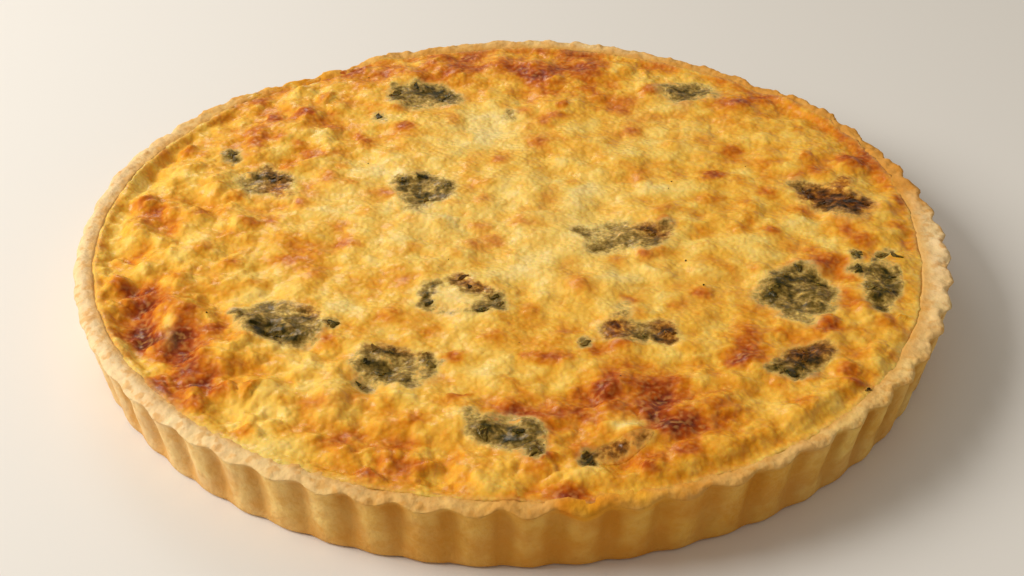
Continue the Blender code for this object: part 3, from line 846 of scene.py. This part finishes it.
def make_clump(index, entry, material):
    """A lump of crinkled leaves in custard, from a grid pulled to its outline."""
    cx, cy, length, width, turn = entry
    select_none()
    bpy.ops.mesh.primitive_grid_add(x_subdivisions=CLUMP_GRID, y_subdivisions=CLUMP_GRID, size=2.0)
    clump = bpy.context.object
    grid = points_of(clump) * MM
    u, v = square_to_round(grid[:, 0], grid[:, 1])
    ragged = clump_ragged(np.arctan2(v, u), index)
    along, across = u * length / 2 * ragged, v * width / 2 * ragged
    lean = math.radians(turn)
    points = np.zeros((len(u), 3))
    points[:, 0] = cx + along * math.cos(lean) - across * math.sin(lean)
    points[:, 1] = cy + along * math.sin(lean) + across * math.cos(lean)
    share = np.hypot(u, v)
    x, y = points[:, 0], points[:, 1]
    height, browned = baked_top(x, y)
    bare = bareness(x, y)
    height += leaf_dip(bare) + CLUMP_PROUD - CLUMP_EDGE_DROP * ease(0.84, 1.0, share)
    points[:, 2] = height
    move_points(clump, points)
    paint_top(clump, x, y, browned, bare)
    draw_down(clump, Vector((cx, cy, float(height.mean()) - CLUMP_DEPTH)))
    face_outwards(clump)
    name = f"spinach_{index:02d}"
    dress(clump, f"{name}_leaves", name, material)


def draw_down(clump, bottom):
    """Close a clump below with narrowing rows and a flat bottom."""
    edit(clump)
    pick_border()
    for narrowing, sinking in CLUMP_BELOW:
        bpy.ops.mesh.extrude_region_move()
        mesh = bmesh.from_edit_mesh(clump.data)
        for vertex in mesh.verts:
            if vertex.select:
                flat = Vector((bottom.x * MM, bottom.y * MM, vertex.co.z))
                vertex.co = flat.lerp(vertex.co, narrowing)
                vertex.co.z += (bottom.z * MM - vertex.co.z) * sinking
        bmesh.update_edit_mesh(clump.data)
    bpy.ops.mesh.edge_face_add()
    leave_edit()


# ---------------------------------------------------------------- small bits

SCRAP_CUTS = 3
SCRAP_THICKNESS = 0.3
# Loose scraps of leaf: x, y, length, width (mm), turn (degrees)
LEAF_SCRAPS = (
    (20, -59, 3.5, 2, 20), (102, -16, 5, 1.8, 80), (113, -16, 5, 1.8, -60),
    (93, -81, 2, 1.2, 10), (-92, 45, 5, 2.4, -70), (-46, 73, 4.5, 2, 80), (-50, -51, 2.6, 1.4, 15),
)
CLUMP_SCRAPS = 2            # scraps of leaf for each stroke of LEAVES barer than BARE_STROKE
BARE_STROKE = 0.7
PEPPER_SPECKS = 12
PEPPER_REACH = 118          # the furthest that they lie from the middle, mm
SEEN_SPECKS = ((55, -30), (51, -17))    # places of the large ones on the top
RIM_SPECK = (49.0, 123.3)   # bearing and radius of a large one on the rim
LARGE_SPECK = 0.5           # its radius, mm


def copies_of_one(count):
    """The active piece, whole, copied over itself until there are count of it."""
    piece = bpy.context.object
    edit(piece)
    bpy.ops.mesh.select_all(action="SELECT")
    for _ in range(count - 1):
        bpy.ops.mesh.duplicate()
    leave_edit()
    return piece


def make_scraps(material, spots):
    """Thin wavy scraps of leaf laid on the clumps, from spots of x, y, length, width and turn."""
    draws = np.random.default_rng(SEED)
    select_none()
    bpy.ops.mesh.primitive_cube_add(size=1.0)
    edit(bpy.context.object)
    bpy.ops.mesh.subdivide(number_cuts=SCRAP_CUTS)
    leave_edit()
    scraps = copies_of_one(len(spots))
    form = (points_of(scraps) * MM).reshape(len(spots), -1, 3)
    u, v, w = form[..., 0], form[..., 1], form[..., 2]
    x0, y0, length, width, turn = (np.array(column, float)[:, None] for column in zip(*spots))
    order = np.arange(len(spots))[:, None]
    bend = 0.3 * np.sin(5.0 * u + 2.4 * order)
    along = length * u
    across = width * (v * (1 - 3.4 * u * u) + bend)
    lean = np.radians(turn)
    x = x0 + along * np.cos(lean) - across * np.sin(lean)
    y = y0 + along * np.sin(lean) + across * np.cos(lean)
    top, browned = baked_top(x.ravel(), y.ravel())
    top += leaf_dip(bareness(x.ravel(), y.ravel()))
    curl = 0.2 * np.sin(6.0 * v + 5.0 * u + order)
    z = top.reshape(u.shape) + SCRAP_THICKNESS * (w + 0.2) + curl
    move_points(scraps, np.stack([x, y, z], axis=-1).reshape(-1, 3))
    leafy = draws.uniform(0.55, 0.95, (len(spots), 1)) + np.zeros_like(x)
    paint_top(scraps, x.ravel(), y.ravel(), browned, leafy.ravel())
    face_outwards(scraps)
    dress(scraps, "leaf_scraps", None, material)


def make_specks(material, places, sizes):
    """Little uneven specks of pepper at places in mm."""
    draws = np.random.default_rng(SEED)
    select_none()
    bpy.ops.mesh.primitive_ico_sphere_add(subdivisions=1, radius=1.0)
    specks = copies_of_one(len(places))
    form = (points_of(specks) * MM).reshape(len(places), -1, 3)
    form = form * draws.uniform(0.6, 1.25, (len(places), 1, 3))
    form = form * draws.uniform(0.75, 1.2, form.shape[:2] + (1,))
    points = places[:, None, :] + form * sizes[:, None, None]
    move_points(specks, points.reshape(-1, 3))
    paint(specks, "leafy", np.full(len(specks.data.vertices), 0.95))
    paint(specks, "toasted", np.full(len(specks.data.vertices), 0.5))
    dress(specks, "pepper_specks", None, material)


def make_bits(leaves):
    """Scraps of leaf and specks of pepper."""
    draws = np.random.default_rng(SEED)
    spots = list(LEAF_SCRAPS)
    for x1, y1, x2, y2, reach, amount in LEAVES:
        for _ in range(CLUMP_SCRAPS if amount > BARE_STROKE else 0):
            share, (aside, ahead) = draws.uniform(0, 1), draws.uniform(-0.6, 0.6, 2) * reach
            size = draws.uniform(1.8, 3.8)
            place = (x1 + share * (x2 - x1) + aside, y1 + share * (y2 - y1) + ahead)
            spots.append((*place, size, size * draws.uniform(0.4, 0.7), draws.uniform(0, 180)))
    make_scraps(leaves, spots)

    bearing = draws.uniform(0, 360, PEPPER_SPECKS)
    radius = PEPPER_REACH * np.sqrt(draws.uniform(0, 1, PEPPER_SPECKS))
    places = around(bearing, radius, 0.0)
    places[:2, :2] = SEEN_SPECKS
    places[:, 2] = baked_top(places[:, 0], places[:, 1])[0]
    rim_bearing, rim_radius = RIM_SPECK
    places = np.vstack([places, around(np.array([rim_bearing]), rim_radius, RIM_HEIGHT - 0.4)])
    sizes = draws.uniform(0.15, 0.35, len(places))
    sizes[[0, 1, -1]] = LARGE_SPECK
    make_specks(leaves, places, sizes)


# ---------------------------------------------------------------- materials

def srgb(red, green, blue):
    """A colour as seen, 0 to 255 a channel, as the linear colour that a shader takes."""
    out = []
    for value in (red, green, blue):
        share = value / 255.0
        out.append(share / 12.92 if share <= 0.04045 else ((share + 0.055) / 1.055) ** 2.4)
    return (*out, 1.0)


class Maker:
    """A node tree with short ways to add, set and join its nodes."""

    def __init__(self, tree):
        self.tree = tree
        self.made = None
        self.shader = None

    def add(self, kind, **settings):
        node = self.tree.nodes.new(kind)
        for name, value in settings.items():
            setattr(node, name, value)
        return node

    def set(self, node, socket, value):
        """Give a socket a constant, or join another node's output to it."""
        if isinstance(value, bpy.types.NodeSocket):
            self.tree.links.new(value, node.inputs[socket])
        else:
            node.inputs[socket].default_value = value

    def math(self, operation, a, b=0.0, clamp=False):
        node = self.add("ShaderNodeMath", operation=operation, use_clamp=clamp)
        self.set(node, 0, a)
        self.set(node, 1, b)
        return node.outputs[0]

    def times(self, value, factor):
        return self.math("MULTIPLY", value, factor)

    def swing(self, value, amount):
        """A 0 to 1 value as a swing of that amount about 0."""
        return self.times(self.math("SUBTRACT", value, 0.5), amount)

    def mix(self, factor, a, b):
        node = self.add("ShaderNodeMix", data_type="RGBA")
        self.set(node, 0, factor)
        self.set(node, 6, a)
        self.set(node, 7, b)
        return node.outputs[2]

    def level(self, value, low, high):
        """0 at or below low, 1 at or above high, smooth between them."""
        node = self.add("ShaderNodeMapRange", interpolation_type="SMOOTHSTEP")
        self.set(node, "Value", value)
        self.set(node, "From Min", low)
        self.set(node, "From Max", high)
        return node.outputs[0]

    def ramp(self, value, stops):
        node = self.add("ShaderNodeValToRGB")
        while len(node.color_ramp.elements) < len(stops):
            node.color_ramp.elements.new(0.5)
        for element, (place, colour) in zip(node.color_ramp.elements, stops):
            element.position, element.color = place, colour
        self.set(node, 0, value)
        return node.outputs[0]

    def attribute(self, name):
        return self.add("ShaderNodeAttribute", attribute_name=name).outputs["Fac"]

    def group(self, tree, **values):
        node = self.add("ShaderNodeGroup", node_tree=tree)
        for name, value in values.items():
            self.set(node, name, value)
        return node

    def object_place(self):
        return self.add("ShaderNodeTexCoord").outputs["Object"]

    def bump(self, height, strength, distance):
        node = self.add("ShaderNodeBump")
        self.set(node, "Height", height)
        self.set(node, "Strength", strength)
        self.set(node, "Distance", distance)
        self.set(self.shader, "Normal", node.outputs[0])


def new_material(name, roughness):
    made = bpy.data.materials.new(name)
    made.use_nodes = True
    maker = Maker(made.node_tree)
    maker.made = made
    maker.shader = made.node_tree.nodes["Principled BSDF"]
    maker.set(maker.shader, "Roughness", roughness)
    return maker


def new_group(name, inputs, outputs):
    """A node group with inputs of a name and usual value, and outputs of a name and kind."""
    tree = bpy.data.node_groups.new(name, "ShaderNodeTree")
    for socket, usual in inputs:
        made = tree.interface.new_socket(socket, in_out="INPUT", socket_type="NodeSocketFloat")
        made.default_value = usual
    for socket, kind in outputs:
        tree.interface.new_socket(socket, in_out="OUTPUT", socket_type=kind)
    maker = Maker(tree)
    return maker, maker.add("NodeGroupInput").outputs, maker.add("NodeGroupOutput")


def make_mottle():
    """Blotches: layered noise of a size in metres, and a mask cut between two of its levels."""
    inputs = (("Size", 0.005), ("Detail", 3.0), ("Low", 0.4), ("High", 0.6), ("Shift", 0.0))
    outputs = (("Mask", "NodeSocketFloat"), ("Value", "NodeSocketFloat"))
    maker, given, out = new_group("mottle", inputs, outputs)
    moved = maker.add("ShaderNodeVectorMath", operation="ADD")
    maker.set(moved, 0, maker.object_place())
    maker.set(moved, 1, given["Shift"])
    clouds = maker.add("ShaderNodeTexNoise")
    maker.set(clouds, "Vector", moved.outputs[0])
    maker.set(clouds, "Scale", maker.math("DIVIDE", 1.0, given["Size"]))
    maker.set(clouds, "Detail", given["Detail"])
    maker.set(out, "Mask", maker.level(clouds.outputs[0], given["Low"], given["High"]))
    maker.set(out, "Value", clouds.outputs[0])
    return maker.tree


# Cheese from pale to nearly burnt
BROWNING = (
    (0.0, srgb(242, 212, 132)), (0.16, srgb(240, 198, 94)), (0.3, srgb(234, 176, 60)),
    (0.43, srgb(221, 146, 30)), (0.56, srgb(200, 111, 12)), (0.7, srgb(170, 76, 4)),
    (0.85, srgb(136, 48, 2)), (1.0, srgb(100, 30, 2)),
)
# Leaves from a veil in the custard to bare, and the same where the oven browned them
GREENS = (
    (0.1, srgb(206, 174, 98)), (0.3, srgb(178, 146, 76)), (0.46, srgb(146, 116, 54)),
    (0.6, srgb(114, 90, 34)), (0.76, srgb(84, 66, 18)), (0.9, srgb(54, 46, 10)),
    (1.0, srgb(36, 34, 8)),
)
TOASTED_GREENS = (
    (0.1, srgb(214, 154, 64)), (0.3, srgb(188, 118, 34)), (0.46, srgb(150, 86, 16)),
    (0.6, srgb(114, 58, 8)), (0.76, srgb(80, 36, 4)), (0.9, srgb(52, 22, 2)),
    (1.0, srgb(38, 16, 2)),
)
# Milky custard, and pale grains on browned cheese that are partly pale blisters and partly painted glints
MILKY_CUSTARD, GRAIN_AND_GLINT = srgb(236, 206, 132), srgb(242, 182, 98)
PASTRY_LIGHT, PASTRY_DEEP, PASTRY_GRAIN = srgb(244, 200, 98), srgb(220, 160, 58), srgb(240, 206, 120)
PASTRY_PALE, PASTRY_FLECK = srgb(231, 201, 154), srgb(212, 150, 58)
# Groove colours: partly the pastry's browning, partly painted shade in the recesses of the flutes
SHADED_GROOVE_BROWN, SHADED_GROOVE_PALE = srgb(176, 112, 20), srgb(206, 150, 74)
CREST_GOLDEN, CREST_PALE, CREST_FLECK = srgb(226, 184, 112), srgb(232, 203, 156), srgb(206, 142, 62)
INNER_GOLDEN, RIM_TOAST = srgb(216, 160, 80), srgb(206, 134, 38)


def make_browning():
    """Baked cheese from pale custard at 0 to nearly burnt at 1, uneven, with the tops of its grains
    painted paler, partly paler cheese and partly painted highlight.
    """
    inputs = (("Level", 0.3), ("Grain", 0.6))
    maker, given, out = new_group("browning", inputs, (("Color", "NodeSocketColor"),))
    fine = maker.group(MOTTLE, Size=0.003, Detail=1.0)
    broad = maker.group(MOTTLE, Size=0.008, Detail=1.0, Shift=3.0)
    fine_swing = maker.swing(fine.outputs["Value"], 0.1)
    broad_swing = maker.swing(broad.outputs["Value"], 0.4)
    # Where browned, the tops of the grains are painted paler: partly paler cheese, partly painted
    # highlight
    pale_and_glinting_tops = maker.times(maker.math("SUBTRACT", given["Grain"], 0.6), given["Level"])
    swing = maker.math("SUBTRACT", maker.math("ADD", fine_swing, broad_swing), maker.times(pale_and_glinting_tops, 0.3))
    maker.set(out, "Color", maker.ramp(maker.math("ADD", given["Level"], swing), BROWNING))
    return maker.tree


def make_leafing():
    """Leaves in custard, from a pale veil at 0 to bare at 1, green or browned by the oven."""
    inputs = (("Level", 0.5), ("Toasted", 0.0))
    maker, given, out = new_group("leafing", inputs, (("Color", "NodeSocketColor"),))
    green, toasted = maker.ramp(given["Level"], GREENS), maker.ramp(given["Level"], TOASTED_GREENS)
    maker.set(out, "Color", maker.mix(given["Toasted"], green, toasted))
    return maker.tree


def make_bubbles():
    """Smooth little bumps packed side by side, of a size in metres, each of another height."""
    maker, given, out = new_group("bubbles", (("Size", 0.002),), (("Height", "NodeSocketFloat"),))
    cells = maker.add("ShaderNodeTexVoronoi", feature="SMOOTH_F1")
    maker.set(cells, "Vector", maker.object_place())
    maker.set(cells, "Scale", maker.math("DIVIDE", 1.0, given["Size"]))
    maker.set(cells, "Smoothness", 0.5)
    maker.set(out, "Height", maker.math("SUBTRACT", 1.0, cells.outputs["Distance"]))
    return maker.tree


def filling_material(name):
    """Baked cheese and custard, with leaves showing where the surface is painted leafy."""
    maker = new_material(name, 0.5)
    shader = maker.shader
    browned, leafy = maker.attribute("browned"), maker.attribute("leafy")
    bubbles = maker.group(BUBBLES, Size=0.0018).outputs["Height"]
    grains = maker.group(MOTTLE, Size=0.0014, Detail=0.5, Low=0.42, High=0.74, Shift=11.0)
    cheese = maker.group(BROWNED_CHEESE, Level=browned, Grain=bubbles).outputs["Color"]
    cheese = maker.mix(maker.times(maker.attribute("pale"), 0.45), cheese, MILKY_CUSTARD)
    # Pale grains on the browned cheese: partly pale blisters, partly painted glints
    grain_glints = maker.times(grains.outputs["Mask"], maker.times(browned, 0.3))
    cheese = maker.mix(grain_glints, cheese, GRAIN_AND_GLINT)
    scraps = maker.group(MOTTLE, Size=0.0009, Detail=2.0, Shift=6.0).outputs["Value"]
    uneven = maker.times(maker.level(leafy, 0.05, 0.35), maker.swing(scraps, 0.7))
    bare = maker.math("ADD", leafy, uneven)
    leaf = maker.group(LEAVES_IN_CUSTARD, Level=bare, Toasted=maker.attribute("toasted")).outputs["Color"]
    maker.set(shader, "Base Color", maker.mix(maker.level(bare, 0.06, 0.32), cheese, leaf))
    maker.set(shader, "Subsurface Weight", 0.4)
    maker.set(shader, "Subsurface Radius", (0.004, 0.002, 0.0008))
    maker.set(shader, "Subsurface Scale", 0.5)
    maker.set(shader, "Specular IOR Level", 0.14)
    maker.set(shader, "Specular Tint", (1.0, 0.75, 0.4, 1.0))
    greasy = maker.group(MOTTLE, Size=0.003, Detail=2.0, Low=0.46, High=0.6, Shift=8.0).outputs["Mask"]
    maker.set(shader, "Roughness", maker.math("SUBTRACT", 0.5, maker.times(greasy, 0.2)))
    maker.set(shader, "Coat Weight", maker.times(greasy, 0.32))
    maker.set(shader, "Coat Roughness", 0.2)
    maker.bump(maker.math("ADD", bubbles, maker.swing(grains.outputs["Value"], 0.9)), 0.6, 0.0005)
    return maker.made


def pastry_material():
    """Shortcrust, golden and blotchy, paler or browned where the case is painted so; the paler paint is
    partly painted light, and the grooves carry painted shade.
    """
    maker = new_material("shortcrust_pastry", 0.75)
    shader = maker.shader
    grain = maker.group(MOTTLE, Size=0.0012, Detail=4.0, Low=0.35, High=0.65)
    blotch = maker.group(MOTTLE, Size=0.012, Detail=4.0, Low=0.35, High=0.68, Shift=2.0)
    flecks = maker.group(MOTTLE, Size=0.003, Detail=2.0, Low=0.5, High=0.66, Shift=4.0)
    pale = maker.attribute("pale")
    colour = maker.mix(blotch.outputs["Mask"], PASTRY_LIGHT, PASTRY_DEEP)
    colour = maker.mix(maker.times(grain.outputs["Mask"], 0.3), colour, PASTRY_GRAIN)
    # Painted paler where the pastry stayed pale, and as painted light on the sides where more light falls
    colour = maker.mix(maker.times(pale, 0.75), colour, PASTRY_PALE)
    colour = maker.mix(maker.times(flecks.outputs["Mask"], 0.34), colour, PASTRY_FLECK)
    # The grooves darkened, partly by browning and partly by painted shade
    browned = maker.mix(pale, SHADED_GROOVE_BROWN, SHADED_GROOVE_PALE)
    colour = maker.mix(maker.times(maker.attribute("groove"), 0.9), colour, browned)
    crest = maker.mix(pale, CREST_GOLDEN, CREST_PALE)
    crest = maker.mix(maker.times(flecks.outputs["Mask"], 0.55), crest, CREST_FLECK)
    colour = maker.mix(maker.times(maker.attribute("crest"), 0.9), colour, crest)
    colour = maker.mix(maker.times(maker.attribute("inner"), 0.75), colour, INNER_GOLDEN)
    blotchy = maker.swing(blotch.outputs["Value"], 0.6)
    toasted = maker.math("ADD", maker.attribute("toasted"), blotchy, clamp=True)
    colour = maker.mix(maker.times(toasted, 0.8), colour, RIM_TOAST)
    melted = maker.group(BROWNED_CHEESE, Level=0.43)
    colour = maker.mix(maker.attribute("cheesed"), colour, melted.outputs["Color"])
    maker.set(shader, "Base Color", colour)
    maker.set(shader, "Subsurface Weight", 0.05)
    maker.set(shader, "Subsurface Radius", (0.003, 0.0015, 0.0006))
    maker.set(shader, "Subsurface Scale", 0.4)
    maker.set(shader, "Specular IOR Level", 0.1)
    maker.bump(grain.outputs["Value"], 0.6, 0.0005)
    return maker.made


# ---------------------------------------------------------------- the whole pie

MOTTLE = make_mottle()
BUBBLES = make_bubbles()
BROWNED_CHEESE = make_browning()
LEAVES_IN_CUSTARD = make_leafing()

make_camera()
make_studio()
creamed_spinach = filling_material("creamed_spinach")
make_crust(pastry_material())
make_filling(filling_material("baked_cheese"))
for clump_number, clump_entry in enumerate(SPINACH, start=1):
    make_clump(clump_number, clump_entry, creamed_spinach)
make_bits(creamed_spinach)
